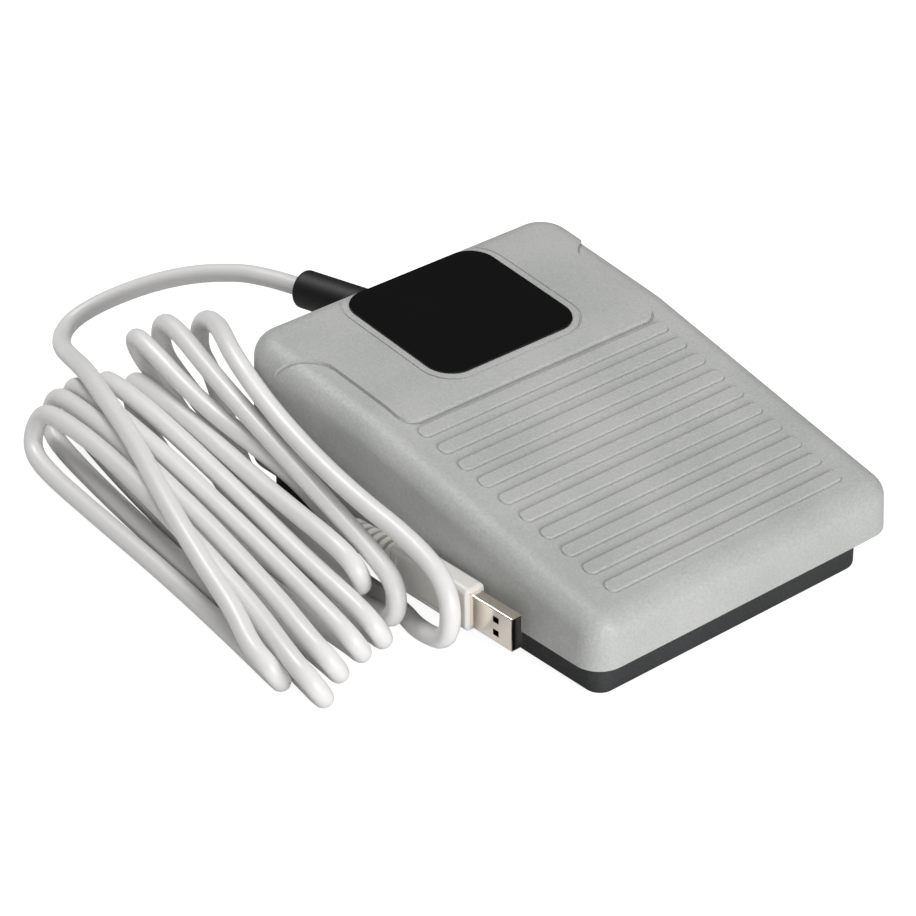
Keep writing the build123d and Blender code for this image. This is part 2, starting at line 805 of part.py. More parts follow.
with BuildPart() as board_screws:
    for hole_x, hole_y in board_holes:
        head_plane = Plane(origin=(hole_x, hole_y, board_top_z))
        add(screw(head_plane, board_screw_radius, board_thickness + standoff_height - seat_gap))
save(board_screws.part, "board_screws")


def corner_radii(points):
    """Radius at each corner: 0.45 of the shorter run over the tangent of half the turn"""
    radii = []
    for before, here, after in zip(points, points[1:], points[2:]):
        first = Vector(here) - Vector(before)
        second = Vector(after) - Vector(here)
        half_turn = math.radians(first.get_angle(second) / 2)
        radii.append(0.45 * min(first.length, second.length) / math.tan(half_turn))
    return radii


def end_plane(path):
    """Plane across the start of a path, looking along it"""
    return Plane(origin=path @ 0, z_dir=path % 0)


def tube(path, radius, sides):
    """Tube of polygonal section along a path"""
    with BuildPart() as one:
        with BuildSketch(end_plane(path)):
            RegularPolygon(radius, sides)
        sweep(path=path)
    return one.part


def route(points):
    """Straight runs through points, joined by tangent arcs"""
    with BuildLine() as line:
        FilletPolyline(*points, radius=corner_radii(points))
    return line.wires()[0]


# Wires inside the tray: two from the switch and four from the cable's end to the board
wire_sides = 6
wire_end_z = board_top_z + header_height / 3
terminal_foot_z = switch_bottom_z - terminal_drop + wire_radius
terminal_edge_x = -terminal_width / 2 - seat_gap
switch_header_edge_y = switch_header_y - header_width / 2 - seat_gap
switch_wire_points = [
    [
        (terminal_edge_x, 0, terminal_foot_z),
        (-6.6, 0, terminal_foot_z),
        (-7.8, 3.0, 6.3),
        (-7.6, 12.5, 6.3),
        (0, 17.2, 6.3),
        (switch_header_x - 7, 16.6, 6.8),
        (switch_header_x - header_pitch / 2, 16.8, wire_end_z),
        (switch_header_x - header_pitch / 2, switch_header_edge_y, wire_end_z),
    ],
    [
        (terminal_edge_x, terminal_pitch, terminal_foot_z),
        (-4.9, terminal_pitch, terminal_foot_z),
        (-5.0, 11.0, 6.3),
        (0.5, 15.2, 6.3),
        (switch_header_x - 5, 14.8, 6.6),
        (switch_header_x + header_pitch / 2, 15.5, wire_end_z),
        (switch_header_x + header_pitch / 2, switch_header_edge_y, wire_end_z),
    ],
]
with BuildPart() as switch_wires:
    for points in switch_wire_points:
        add(tube(route(points), wire_radius, wire_sides))
save(switch_wires.part, "switch_wires")

cable_low_z = floor_z + seat_gap + cable_radius
cable_end_y = clamp_y - clamp_length / 2 - cable_radius
usb_header_edge_x = usb_header_x - header_width / 2 - 2 * seat_gap
core_spread = wire_radius + running_fit
with BuildPart() as usb_conductors:
    for number in range(usb_ways):
        row_y = board_y + (number - (usb_ways - 1) / 2) * header_pitch
        core_x = clamp_x + core_spread * (1 if number % 2 else -1)
        core_z = cable_low_z + core_spread * (1 if number > 1 else -1)
        points = [
            (core_x, cable_end_y, core_z),
            (core_x, 19.4 + number * 0.4, core_z),
            (3.0 - core_spread * number, 18.6 + number * 0.6, 7.5 + number * 1.8),
            (14.4 - number * 1.2, 22.0 + number * 0.6, wire_end_z + number * 0.9),
            (14.4 - number * 1.2, row_y, wire_end_z + number * 0.9),
            (usb_header_edge_x, row_y, wire_end_z),
        ]
        add(tube(route(points), wire_radius, wire_sides))
save(usb_conductors.part, "usb_conductors")


def bend_through(places, headings):
    """Path through places with the given headings, two tangent arcs from each to the next"""
    with BuildLine() as line:
        for here, there, start, finish in zip(places, places[1:], headings, headings[1:]):
            gap = there - here
            along = gap.dot(start + finish)
            turn = 2 * (1 - start.dot(finish)) * gap.dot(gap)
            reach = gap.dot(gap) / (math.sqrt(along ** 2 + turn) + along)
            leave = here + start * reach
            arrive = there - finish * reach
            middle = (leave + arrive) / 2
            for first, last, heading in ((here, middle, start), (middle, there, arrive - leave)):
                if heading.get_angle(last - first) < straight_angle:
                    Line(first, last)
                else:
                    TangentArc(first, last, tangent=heading)
    return line.wires()[0]


# Return springs, one open coil each between the tray's seat and the hood's cap
straight_angle = 0.3
quarters = 4
spring_sides = 5
spring_rise = spring_top_z - spring_seat_z - spring_wire - 2 * seat_gap
spring_mean = spring_radius - spring_wire / 2


def spring(centre_x):
    """One spring that winds up round its own axis"""
    places, headings = [], []
    for step in range(spring_turns * quarters + 1):
        angle = step * 2 * math.pi / quarters
        climb = spring_rise / (spring_turns * 2 * math.pi)
        places.append(
            Vector(
                centre_x + spring_mean * math.cos(angle),
                spring_y + spring_mean * math.sin(angle),
                spring_seat_z + seat_gap + spring_wire / 2 + climb * angle,
            )
        )
        headings.append(
            Vector(-spring_mean * math.sin(angle), spring_mean * math.cos(angle), climb).normalized()
        )
    return tube(bend_through(places, headings), spring_wire / 2, spring_sides)


with BuildPart() as return_spring_left:
    add(spring(-spring_x))
save(return_spring_left.part, "return_spring_left")

with BuildPart() as return_spring_right:
    add(spring(spring_x))
save(return_spring_right.part, "return_spring_right")

# Boot, cable inside it and the tray, and the clamp
boot_corner = (0, 86.0, exit_z)
boot_end = (-8.9, 126.9, 40.0)
boot_bend_radius = 24.0
inner_points = [
    boot_end,
    boot_corner,
    (0, 64.0, exit_z),
    (-3.0, 52.0, 22.0),
    (clamp_x, 44.0, cable_low_z),
    (clamp_x, cable_end_y, cable_low_z),
]
with BuildLine() as boot_line:
    FilletPolyline((0, tray_half_y, exit_z), boot_corner, boot_end, radius=boot_bend_radius)
boot_path = boot_line.wires()[0]
with BuildLine() as inner_line:
    FilletPolyline(*inner_points, radius=[boot_bend_radius] + corner_radii(inner_points)[1:])
inner_path = inner_line.wires()[0]
boot_end_plane = Plane(origin=boot_path @ 1, z_dir=boot_path % 1)

with BuildPart() as strain_relief_boot:
    with BuildSketch(end_plane(boot_path)):
        Circle(boot_radius)
    sweep(path=boot_path)
    fillet(strain_relief_boot.faces().sort_by(Axis.Y)[-1].edges(), boot_end_edge)
    with BuildSketch(Plane.XZ.offset(-tray_half_y)):
        with Locations((0, exit_z)):
            Circle(boot_neck_radius)
    extrude(amount=tray_half_y - tower_front_y)
    with BuildSketch(Plane.XZ.offset(-tower_front_y)):
        with Locations((0, exit_z)):
            Circle(boot_flange_radius)
    extrude(amount=boot_flange)
    with BuildSketch(Plane.XZ.offset(-tray_half_y)):
        with Locations((0, exit_z)):
            Circle(cable_radius + bore_clearance)
    extrude(amount=tray_half_y - tower_front_y + boot_flange + overrun, mode=Mode.SUBTRACT)
    with BuildSketch(end_plane(boot_path)):
        Circle(cable_radius + bore_clearance)
    sweep(path=boot_path, mode=Mode.SUBTRACT)
save(strain_relief_boot.part, "strain_relief_boot")

with BuildPart() as cable_inner:
    add(tube(inner_path, cable_radius, cable_sides))
save(cable_inner.part, "cable_inner")

clamp_seat_z = floor_z + cable_radius + seat_gap
with BuildPart() as cable_clamp:
    with BuildSketch(Plane.XZ.offset(-clamp_y - clamp_length / 2)):
        with Locations((clamp_x, cable_low_z)):
            Circle(cable_radius + seat_gap + clamp_thickness)
        with Locations((clamp_x, clamp_seat_z + clamp_thickness / 2)):
            Rectangle(2 * clamp_half, clamp_thickness)
        with Locations((clamp_x, clamp_seat_z - clamp_thickness * 2)):
            Rectangle(2 * clamp_half, clamp_thickness * 4, mode=Mode.SUBTRACT)
        with Locations((clamp_x, cable_low_z)):
            Circle(cable_radius + seat_gap, mode=Mode.SUBTRACT)
    extrude(amount=clamp_length)
    with BuildSketch(Plane.XY.offset(clamp_seat_z)):
        with Locations((clamp_x - clamp_screw_x, clamp_y), (clamp_x + clamp_screw_x, clamp_y)):
            Circle(clamp_screw_radius + running_fit)
    extrude(amount=clamp_thickness, mode=Mode.SUBTRACT)
save(cable_clamp.part, "cable_clamp")

with BuildPart() as cable_clamp_screws:
    for side_sign in (-1, 1):
        screw_x = clamp_x + side_sign * clamp_screw_x
        head_plane = Plane(origin=(screw_x, clamp_y, clamp_seat_z + clamp_thickness))
        add(screw(head_plane, clamp_screw_radius, clamp_thickness + cable_radius))
save(cable_clamp_screws.part, "cable_clamp_screws")

# Plug at the cable's end, on edge beside the left wall. Its plane lies across the back of
# the grip: X through its thickness, Y up, Z towards the open end of the shell.
yaw = math.radians(plug_yaw)
plug_plane = Plane(
    origin=(plug_x, plug_y, plug_z),
    x_dir=(math.cos(yaw), math.sin(yaw), 0),
    z_dir=(math.sin(yaw), -math.cos(yaw), 0),
)
with BuildPart() as plug_shell:
    with BuildSketch(plug_plane.offset(grip_length - shell_root)):
        RectangleRounded(shell_thickness, shell_height, shell_corner)
        RectangleRounded(
            shell_thickness - 2 * shell_wall,
            shell_height - 2 * shell_wall,
            shell_corner - shell_wall,
            mode=Mode.SUBTRACT,
        )
    extrude(amount=shell_length + shell_root)
    window_along = grip_length + shell_length - window_from_end
    window_plane = Plane(
        origin=plug_plane.from_local_coords((shell_thickness, 0, window_along)),
        x_dir=plug_plane.z_dir,
        z_dir=plug_plane.x_dir * -1,
    )
    with BuildSketch(window_plane):
        with Locations((0, window_offset), (0, -window_offset)):
            Rectangle(window_length, window_width)
    extrude(amount=shell_thickness * 2, mode=Mode.SUBTRACT)
save(plug_shell.part, "plug_shell")

with BuildPart() as plug_overmould:
    with BuildSketch(plug_plane):
        RectangleRounded(grip_thickness, grip_height, grip_corner)
    extrude(amount=grip_length)
    fillet(plug_overmould.faces().sort_by(Axis.Y)[-1].edges(), grip_edge)
    fillet(plug_overmould.faces().sort_by(Axis.Y)[0].edges(), grip_edge)
    for side_sign in (-1, 1):
        face_plane = Plane(
            origin=plug_plane.from_local_coords((side_sign * grip_thickness / 2, 0, grip_length / 2)),
            x_dir=plug_plane.z_dir,
            z_dir=plug_plane.x_dir * side_sign,
        )
        with BuildSketch(face_plane):
            RectangleRounded(
                grip_length - 2 * grip_panel_inset, grip_height - 2 * grip_panel_inset, grip_corner)
        extrude(amount=-grip_panel_depth, mode=Mode.SUBTRACT)
    with BuildSketch(plug_plane.offset(grip_length - shell_root)):
        Rectangle(shell_thickness, shell_height)
    extrude(amount=shell_root + overrun, mode=Mode.SUBTRACT)
save(plug_overmould.part, "plug_overmould")

inner_half = shell_thickness / 2 - shell_wall - running_fit
inner_height = shell_height - 2 * shell_wall - 2 * running_fit
with BuildPart() as plug_insulator:
    with BuildSketch(plug_plane.offset(grip_length - shell_root)):
        Rectangle(2 * inner_half, inner_height)
    extrude(amount=shell_root)
    with BuildSketch(plug_plane.offset(grip_length)):
        with Locations((inner_half - tongue_thickness / 2, 0)):
            Rectangle(tongue_thickness, tongue_height)
    extrude(amount=shell_length - tongue_short)
save(plug_insulator.part, "plug_insulator")

with BuildPart() as plug_contacts:
    with BuildSketch(plug_plane.offset(grip_length)):
        with Locations((inner_half - tongue_thickness - contact_thickness / 2, 0)):
            with GridLocations(contact_pitch, contact_pitch, 1, usb_ways):
                Rectangle(contact_thickness, contact_width)
    extrude(amount=contact_length)
save(plug_contacts.part, "plug_contacts")

relief_step = relief_length / (relief_ribs + 1)
with BuildPart() as plug_relief:
    with BuildSketch(plug_plane):
        Circle(relief_root_radius)
    with BuildSketch(plug_plane.offset(-relief_length)):
        Circle(relief_tip_radius)
    loft()
    for number in range(relief_ribs):
        with BuildSketch(plug_plane.offset(-relief_step * (number + 1) - relief_groove / 2)):
            Rectangle(2 * relief_root_radius, 2 * relief_root_radius)
            Circle(cable_radius, mode=Mode.SUBTRACT)
            Rectangle(2 * relief_root_radius, relief_slot_depth * 2, mode=Mode.SUBTRACT)
        extrude(amount=relief_groove, mode=Mode.SUBTRACT)
save(plug_relief.part, "plug_relief")

# Loose coil of eight turns that leans on the pedal's left wall. For each turn: the outermost
# point of its front bend, half its height and half its shift, places along the lower strand,
# the same three for its back bend, and places along the upper strand. The outer turns lie
# low; the last three stand up against the wall, and their lower strands pass on its side.
coil_turns = [
    ((-133, -14.5, 10.5), 6.8, 3.8, [(-120, 60, 3.7)], (-107, 150, 12), 8.2, 4.0, [(-112.5, 60, 20.2)]),
    ((-126.5, -32, 10.5), 6.9, 3.7, [(-112, 60, 3.7)], (-96.5, 156, 12), 8.2, 2.6, [(-104.2, 60, 20.2)]),
    ((-115, -25, 10.4), 6.7, 3.7, [(-104.2, 60, 3.7)], (-87, 158, 12), 8.2, 1.2, [(-96, 60, 20.2)]),
    ((-103, -21, 10.4), 6.7, 3.6, [(-97.1, 60, 3.7)], (-78.7, 150, 15.2), 8.4, 0, [(-87.8, 60, 21)]),
    ((-93.3, -19.5, 10.4), 6.7, 3.3, [(-89.7, 60, 3.7)], (-71.7, 140, 19.2), 8.4, -0.6, [(-81.4, 62, 24.6)]),
    (
        (-86.1, -1, 18.6), 7.0, 2.2, [(-78.4, 60, 11.7), (-70.8, 84, 17.4)],
        (-59.4, 118, 44.8), 9.2, -4, [(-70.6, 90, 55), (-72.4, 62, 44.4)],
    ),
    (
        (-80.2, -38, 20), 15.2, 4.5, [(-74.5, 40, 3.7), (-74.2, 66, 3.9), (-70.4, 84, 7), (-61.8, 103, 13)],
        (-63.3, 133.2, 38.8), 9.2, -4, [(-74.2, 62, 37)],
    ),
    (
        (-82.1, -16.5, 14), 9.8, -0.6, [(-82, 40, 3.7), (-81.4, 64, 5.2), (-77, 86, 10.8), (-72, 103, 14.4)],
        (-68.7, 139.6, 32.1), 6.8, -6, [],
    ),
]
coil_approach = Vector(-133.4, 8.6, 18.8)
coil_departure = Vector(-74.8, 98, 33.1)
coil_samples = 8
cable_diameter = 2 * cable_radius


def bend(tip, half_height, half_shift, forward):
    """Start, outermost point and end of a half-round bend at one end of a turn"""
    reach = math.hypot(half_height, half_shift)
    across = Vector(half_shift, 0, -half_height * forward)
    inward = Vector(0, reach * forward, 0)
    return Vector(tip) + inward - across, Vector(tip), Vector(tip) + inward + across


coil_stops = []
for front, front_half, front_shift, lower, back, back_half, back_shift, upper in coil_turns:
    for tip, half, shift, forward, strand in (
        (front, front_half, front_shift, 1, lower),
        (back, back_half, back_shift, -1, upper),
    ):
        start, middle, finish = bend(tip, half, shift, forward)
        coil_stops += [(start, "arrive"), (middle, "pass"), (finish, "leave")]
        coil_stops += [(Vector(place), "pass") for place in strand]

coil_places, coil_headings = [], []
for number, (place, kind) in enumerate(coil_stops):
    before = coil_stops[number - 1][0] if number else coil_approach
    after = coil_stops[number + 1][0] if number + 1 < len(coil_stops) else coil_departure
    heading = {"arrive": place - before, "pass": after - before, "leave": after - place}[kind]
    coil_places.append(place)
    coil_headings.append(heading.normalized())
coil_places.insert(0, coil_places[0] - coil_headings[0] * cable_diameter)
coil_headings.insert(0, coil_headings[0])
coil_places.append(coil_places[-1] + coil_headings[-1] * cable_diameter)
coil_headings.append(coil_headings[-1])
coil_path = bend_through(coil_places, coil_headings)
with BuildPart() as cable_coil:
    add(tube(coil_path, cable_radius, cable_sides))
save(cable_coil.part, "cable_coil")

coil_points = []
coil_run = 0
for edge in coil_path.edges():
    for step in range(coil_samples):
        along_share = step / coil_samples
        coil_points.append((edge @ along_share, coil_run + edge.length * along_share))
    coil_run += edge.length
coil_gap = min(
    (here - there).length - cable_diameter
    for number, (here, here_along) in enumerate(coil_points)
    for there, there_along in coil_points[number + 1 :]
    if there_along - here_along > 4 * cable_diameter
)
coil_radii = [edge.radius for edge in coil_path.edges() if edge.geom_type == GeomType.CIRCLE]
print("coil length", round(coil_path.length), "least gap", round(coil_gap, 2))
coil_lowest = min(place.Z for place, along in coil_points)
print("coil tightest radius", round(min(coil_radii), 2), "lowest centre", round(coil_lowest, 2))

# Free cable from the boot to the coil
lead_straight = 19.5
lead_start = boot_end_plane.from_local_coords((0, 0, lead_straight))
lead_points = [
    boot_end,
    tuple(lead_start),
    (-19, 164, 34.5),
    (-26, 177, 30),
    (-34, 189, 24),
    (-45.5, 199, 18),
    (-55.5, 204, 13.5),
    (-63, 203, 11),
    (-68, 196, 10),
    (-72, 184, 13),
    (-77, 167, 20.5),
    (-84, 146, 28),
    (-91, 126, 30),
    (-98.5, 108, 29.8),
    (-104, 92, 29.2),
    (-112, 70, 29),
    (-120, 47, 26.6),
    (-127.3, 27, 22.8),
    tuple(coil_approach),
    tuple(coil_places[0]),
]
lead_radii = corner_radii(lead_points)
print("lead radii", [round(r, 1) for r in lead_radii])
with BuildPart() as cable_lead:
    add(tube(route(lead_points), cable_radius, cable_sides))
save(cable_lead.part, "cable_lead")

# Last stretch, from the plug's relief back up to the coil
tail_start = plug_plane.from_local_coords((0, 0, -relief_length))
tail_straight = 11.0
tail_next = plug_plane.from_local_coords((0, 0, -relief_length - tail_straight))
tail_points = [
    tuple(tail_start),
    tuple(tail_next),
    (-73.6, 45, 26.4),
    (-74, 64, 29.4),
    tuple(coil_departure),
    tuple(coil_places[-1]),
]
tail_radii = corner_radii(tail_points)
print("tail radii", [round(r, 1) for r in tail_radii])
with BuildPart() as cable_tail:
    add(tube(route(tail_points), cable_radius, cable_sides))
save(cable_tail.part, "cable_tail")
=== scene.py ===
"""Looks of a foot pedal switch with a coiled cable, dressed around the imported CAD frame."""

import logging
import math
from dataclasses import dataclass
from enum import Enum
from typing import Any

import bmesh
import bpy
from mathutils import Matrix, Vector

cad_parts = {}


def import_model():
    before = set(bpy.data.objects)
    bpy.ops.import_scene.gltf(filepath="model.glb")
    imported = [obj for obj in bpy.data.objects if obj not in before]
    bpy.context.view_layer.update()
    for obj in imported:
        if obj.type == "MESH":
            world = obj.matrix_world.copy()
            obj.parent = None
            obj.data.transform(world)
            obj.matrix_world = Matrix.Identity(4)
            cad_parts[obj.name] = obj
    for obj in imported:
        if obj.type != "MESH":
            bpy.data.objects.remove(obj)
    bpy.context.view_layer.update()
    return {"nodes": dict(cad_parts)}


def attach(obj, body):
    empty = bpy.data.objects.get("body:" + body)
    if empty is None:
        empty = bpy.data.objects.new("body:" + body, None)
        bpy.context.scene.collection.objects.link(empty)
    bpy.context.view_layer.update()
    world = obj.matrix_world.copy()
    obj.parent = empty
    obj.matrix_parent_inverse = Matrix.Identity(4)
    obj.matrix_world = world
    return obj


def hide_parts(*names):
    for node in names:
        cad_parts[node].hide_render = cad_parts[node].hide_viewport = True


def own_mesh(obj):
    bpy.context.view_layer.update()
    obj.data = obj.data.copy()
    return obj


MM = 0.001
LOG = logging.getLogger("foot_pedal")

# Sockets of a Mix node that blends colours: its share, its two colours and its result
SHARE, FIRST_COLOUR, SECOND_COLOUR, MIXED_COLOUR = 0, 6, 7, 2

Point = tuple[float, float, float]


class Grain(Enum):
    """How a mould was finished, as the swing of gloss and the strength of bump that it leaves."""

    SPARKED = (0.09, 1.0)
    FINE = (0.09, 0.25)
    POLISHED = (0.0, 0.25)

    @property
    def gloss_swing(self) -> float:
        """How far the roughness goes either way."""
        return self.value[0]

    @property
    def bump_strength(self) -> float:
        """How strongly the grain tilts the surface."""
        return self.value[1]


class End(Enum):
    """End of the coil that a bend closes, as the way along Y that leads back into the turn."""

    FRONT = 1
    REAR = -1


def linear(code: str) -> tuple[float, float, float, float]:
    """Turn an sRGB hex colour into linear values.

    Args:
        code: six hex digits.

    Returns:
        Linear red, green and blue, with an alpha of one.
    """
    parts = [int(code[i : i + 2], 16) / 255 for i in (0, 2, 4)]
    red, green, blue = (c / 12.92 if c <= 0.04045 else ((c + 0.055) / 1.055) ** 2.4 for c in parts)
    return red, green, blue, 1.0


def add_node(
    tree: Any, kind: str, settings: dict[int | str, Any], links: dict[int | str, Any]
) -> Any:
    """Add one node with its settings and incoming links.

    Args:
        tree: the node tree.
        kind: the node's type name.
        settings: values by the name of an attribute, or by the name or number of an input.
        links: output sockets by the name or number of the input that they feed.

    Returns:
        The new node.
    """
    node = tree.nodes.new(kind)
    for key, value in settings.items():
        if isinstance(key, int) or key in node.inputs:
            node.inputs[key].default_value = value
        else:
            setattr(node, key, value)
    for key, socket in links.items():
        tree.links.new(socket, node.inputs[key])
    return node


def new_material(name: str) -> tuple[Any, Any]:
    """Start a material with no nodes.

    Args:
        name: the material's name.

    Returns:
        The material and its node tree.
    """
    material = bpy.data.materials.new(name)
    material.use_nodes = True
    material.node_tree.nodes.clear()
    return material, material.node_tree


def per_metre(pattern_mm: float) -> float:
    """Noise scale that gives a pattern of the given real width in millimetres."""
    return 1.0 / (pattern_mm * MM)


@dataclass(frozen=True)
class MouldedPlastic:
    """Injection-moulded plastic or rubber: two close tones, broken by the grain of its mould."""

    name: str
    colour: str
    shade: str
    roughness: float
    grain: Grain = Grain.FINE
    grain_mm: float = 0.6
    relief_mm: float = 0.01
    grain_detail: float = 4.0
    cloud_mm: float = 38.0
    cloud_detail: float = 3.0
    shade_from: float = 0.75
    shade_to: float = 1.25
    ior: float = 1.53

    def material(self) -> Any:
        """Build the plastic: clouds and grain in its tone, grain in its gloss and its bump.

        Returns:
            The material.
        """
        material, tree = new_material(self.name)
        place = add_node(tree, "ShaderNodeTexCoord", {}, {}).outputs["Object"]
        cloud = add_node(
            tree,
            "ShaderNodeTexNoise",
            {"Scale": per_metre(self.cloud_mm), "Detail": self.cloud_detail},
            {"Vector": place},
        )
        grain = add_node(
            tree,
            "ShaderNodeTexNoise",
            {"Scale": per_metre(self.grain_mm), "Detail": self.grain_detail},
            {"Vector": place},
        )
        speckle = add_node(
            tree,
            "ShaderNodeMath",
            {"operation": "ADD"},
            {0: cloud.outputs[0], 1: grain.outputs[0]},
        )
        share = add_node(
            tree,
            "ShaderNodeMapRange",
            {"From Min": self.shade_from, "From Max": self.shade_to},
            {"Value": speckle.outputs[0]},
        )
        tone = add_node(
            tree,
            "ShaderNodeMix",
            {
                "data_type": "RGBA",
                FIRST_COLOUR: linear(self.colour),
                SECOND_COLOUR: linear(self.shade),
            },
            {SHARE: share.outputs[0]},
        )
        bump = add_node(
            tree,
            "ShaderNodeBump",
            {"Strength": self.grain.bump_strength, "Distance": self.relief_mm * MM},
            {"Height": grain.outputs[0]},
        )
        surface = {"Base Color": tone.outputs[MIXED_COLOUR], "Normal": bump.outputs[0]}
        swing = self.grain.gloss_swing
        if swing:
            gloss = add_node(
                tree,
                "ShaderNodeMapRange",
                {"To Min": self.roughness - swing, "To Max": self.roughness + swing},
                {"Value": grain.outputs[0]},
            )
            surface["Roughness"] = gloss.outputs[0]
        shader = add_node(
            tree,
            "ShaderNodeBsdfPrincipled",
            {"IOR": self.ior, "Roughness": self.roughness},
            surface,
        )
        add_node(tree, "ShaderNodeOutputMaterial", {}, {"Surface": shader.outputs[0]})
        return material


@dataclass(frozen=True)
class PlatedMetal:
    """Plated or drawn metal: bright, with faint lines along the way the strip was rolled."""

    name: str
    colour: str
    roughness: float
    line_mm: float = 0.15
    line_detail: float = 3.0
    stretch: float = 18.0
    brightest_share: float = 0.7
    dullest_share: float = 1.4
    bump_strength: float = 0.15
    relief_mm: float = 0.01

    def material(self) -> Any:
        """Build the metal: rolled lines that vary its gloss and its bump a little.

        Returns:
            The material.
        """
        material, tree = new_material(self.name)
        place = add_node(tree, "ShaderNodeTexCoord", {}, {}).outputs["Object"]
        stretched = add_node(
            tree,
            "ShaderNodeMapping",
            {"Scale": (self.stretch, 1.0, self.stretch)},
            {"Vector": place},
        )
        lines = add_node(
            tree,
            "ShaderNodeTexNoise",
            {"Scale": per_metre(self.line_mm) / self.stretch, "Detail": self.line_detail},
            {"Vector": stretched.outputs[0]},
        )
        gloss = add_node(
            tree,
            "ShaderNodeMapRange",
            {
                "To Min": self.roughness * self.brightest_share,
                "To Max": self.roughness * self.dullest_share,
            },
            {"Value": lines.outputs[0]},
        )
        bump = add_node(
            tree,
            "ShaderNodeBump",
            {"Strength": self.bump_strength, "Distance": self.relief_mm * MM},
            {"Height": lines.outputs[0]},
        )
        shader = add_node(
            tree,
            "ShaderNodeBsdfPrincipled",
            {"Base Color": linear(self.colour), "Metallic": 1.0},
            {"Roughness": gloss.outputs[0], "Normal": bump.outputs[0]},
        )
        add_node(tree, "ShaderNodeOutputMaterial", {}, {"Surface": shader.outputs[0]})
        return material


@dataclass(frozen=True)
class CableSheath:
    """Extruded soft PVC: a waxy sheen, a little light inside it, slow waves from the extruder."""

    name: str
    colour: str
    shade: str
    roughness: float = 0.36
    smoother_by: float = 0.07
    rougher_by: float = 0.1
    wave_mm: float = 7.0
    wave_detail: float = 2.0
    skin_mm: float = 0.5
    skin_detail: float = 3.0
    bump_strength: float = 0.2
    relief_mm: float = 0.02
    inner_light: float = 0.12
    inner_reach_mm: float = 0.9
    inner_tint: Point = (1.0, 0.95, 0.85)
    ior: float = 1.53

    def material(self) -> Any:
        """Build the sheath: slow waves in tone and gloss, with a faint fine skin.

        Returns:
            The material.
        """
        material, tree = new_material(self.name)
        place = add_node(tree, "ShaderNodeTexCoord", {}, {}).outputs["Object"]
        wave = add_node(
            tree,
            "ShaderNodeTexNoise",
            {"Scale": per_metre(self.wave_mm), "Detail": self.wave_detail},
            {"Vector": place},
        )
        skin = add_node(
            tree,
            "ShaderNodeTexNoise",
            {"Scale": per_metre(self.skin_mm), "Detail": self.skin_detail},
            {"Vector": place},
        )
        tone = add_node(
            tree,
            "ShaderNodeMix",
            {
                "data_type": "RGBA",
                FIRST_COLOUR: linear(self.colour),
                SECOND_COLOUR: linear(self.shade),
            },
            {SHARE: wave.outputs[0]},
        )
        gloss = add_node(
            tree,
            "ShaderNodeMapRange",
            {
                "To Min": self.roughness - self.smoother_by,
                "To Max": self.roughness + self.rougher_by,
            },
            {"Value": wave.outputs[0]},
        )
        bump = add_node(
            tree,
            "ShaderNodeBump",
            {"Strength": self.bump_strength, "Distance": self.relief_mm * MM},
            {"Height": skin.outputs[0]},
        )
        shader = add_node(
            tree,
            "ShaderNodeBsdfPrincipled",
            {
                "IOR": self.ior,
                "Subsurface Weight": self.inner_light,
                "Subsurface Scale": self.inner_reach_mm * MM,
                "Subsurface Radius": self.inner_tint,
            },
            {
                "Base Color": tone.outputs[MIXED_COLOUR],
                "Roughness": gloss.outputs[0],
                "Normal": bump.outputs[0],
            },
        )
        add_node(tree, "ShaderNodeOutputMaterial", {}, {"Surface": shader.outputs[0]})
        return material


Finish = MouldedPlastic | PlatedMetal | CableSheath

# ABS from a spark-eroded mould: dry grey that breaks up each highlight. The pits are really
# about 0.1 mm wide, too fine to show, so they are drawn at 0.9 mm.
COVER_ABS = MouldedPlastic(
    "sparked_grey_abs", "BBBCBA", "ABADAA", 0.5, Grain.SPARKED, grain_mm=0.9, relief_mm=0.16
)
# The same pits on charcoal ABS, drawn as coarse: flat and dusty beside the black label
TRAY_ABS = MouldedPlastic(
    "sparked_charcoal_abs", "353637", "292A2B", 0.6, Grain.SPARKED, grain_mm=0.9, relief_mm=0.16
)
# Black polyester film: deep and even, with a tight dim gloss
LABEL_FILM = MouldedPlastic(
    "satin_black_label_film", "080809", "0B0B0C", 0.2, Grain.FINE, grain_mm=0.3, relief_mm=0.006
)
# Moulded soft elastomer: black that swallows light, with one broad faint streak
BOOT_TPE = MouldedPlastic(
    "black_flexible_elastomer", "080809", "0B0B0C", 0.58, Grain.FINE, relief_mm=0.02
)
# Moulded nitrile rubber: greyish black with no shine
RUBBER_FOOT = MouldedPlastic(
    "black_nitrile_rubber", "1E1E1E", "262626", 0.75, Grain.SPARKED, grain_mm=0.8, relief_mm=0.04
)
# Moulded soft PVC: milky white with a soft sheen along its edges
GRIP_PVC = MouldedPlastic(
    "white_moulded_pvc_grip", "DFDDD9", "D9D7D2", 0.4, Grain.FINE, grain_mm=0.5, relief_mm=0.012
)
# PBT from a polished mould: clean black with small sharp highlights
INSERT_PBT = MouldedPlastic("black_pbt_insert", "1B1B1C", "212122", 0.4, Grain.POLISHED)
# Pressed phenolic: brownish black with a dull shine
SWITCH_PHENOLIC = MouldedPlastic(
    "black_phenolic_case", "1B1B1C", "232323", 0.45, Grain.FINE, grain_mm=0.4, relief_mm=0.012
)
# Acetal from a polished mould: waxy red that stands out from the case
BUTTON_RED = MouldedPlastic("red_acetal_button", "B3261C", "A32018", 0.35, Grain.POLISHED)
# Solder resist over copper: glossy green lacquer
BOARD_RESIST = MouldedPlastic(
    "green_solder_resist", "1F6B3C", "185A33", 0.3, Grain.POLISHED, grain_mm=1.2
)
# Moulded epoxy: matt dark grey package
CHIP_EPOXY = MouldedPlastic(
    "black_epoxy_package", "242426", "1D1D1F", 0.6, Grain.FINE, grain_mm=0.3
)
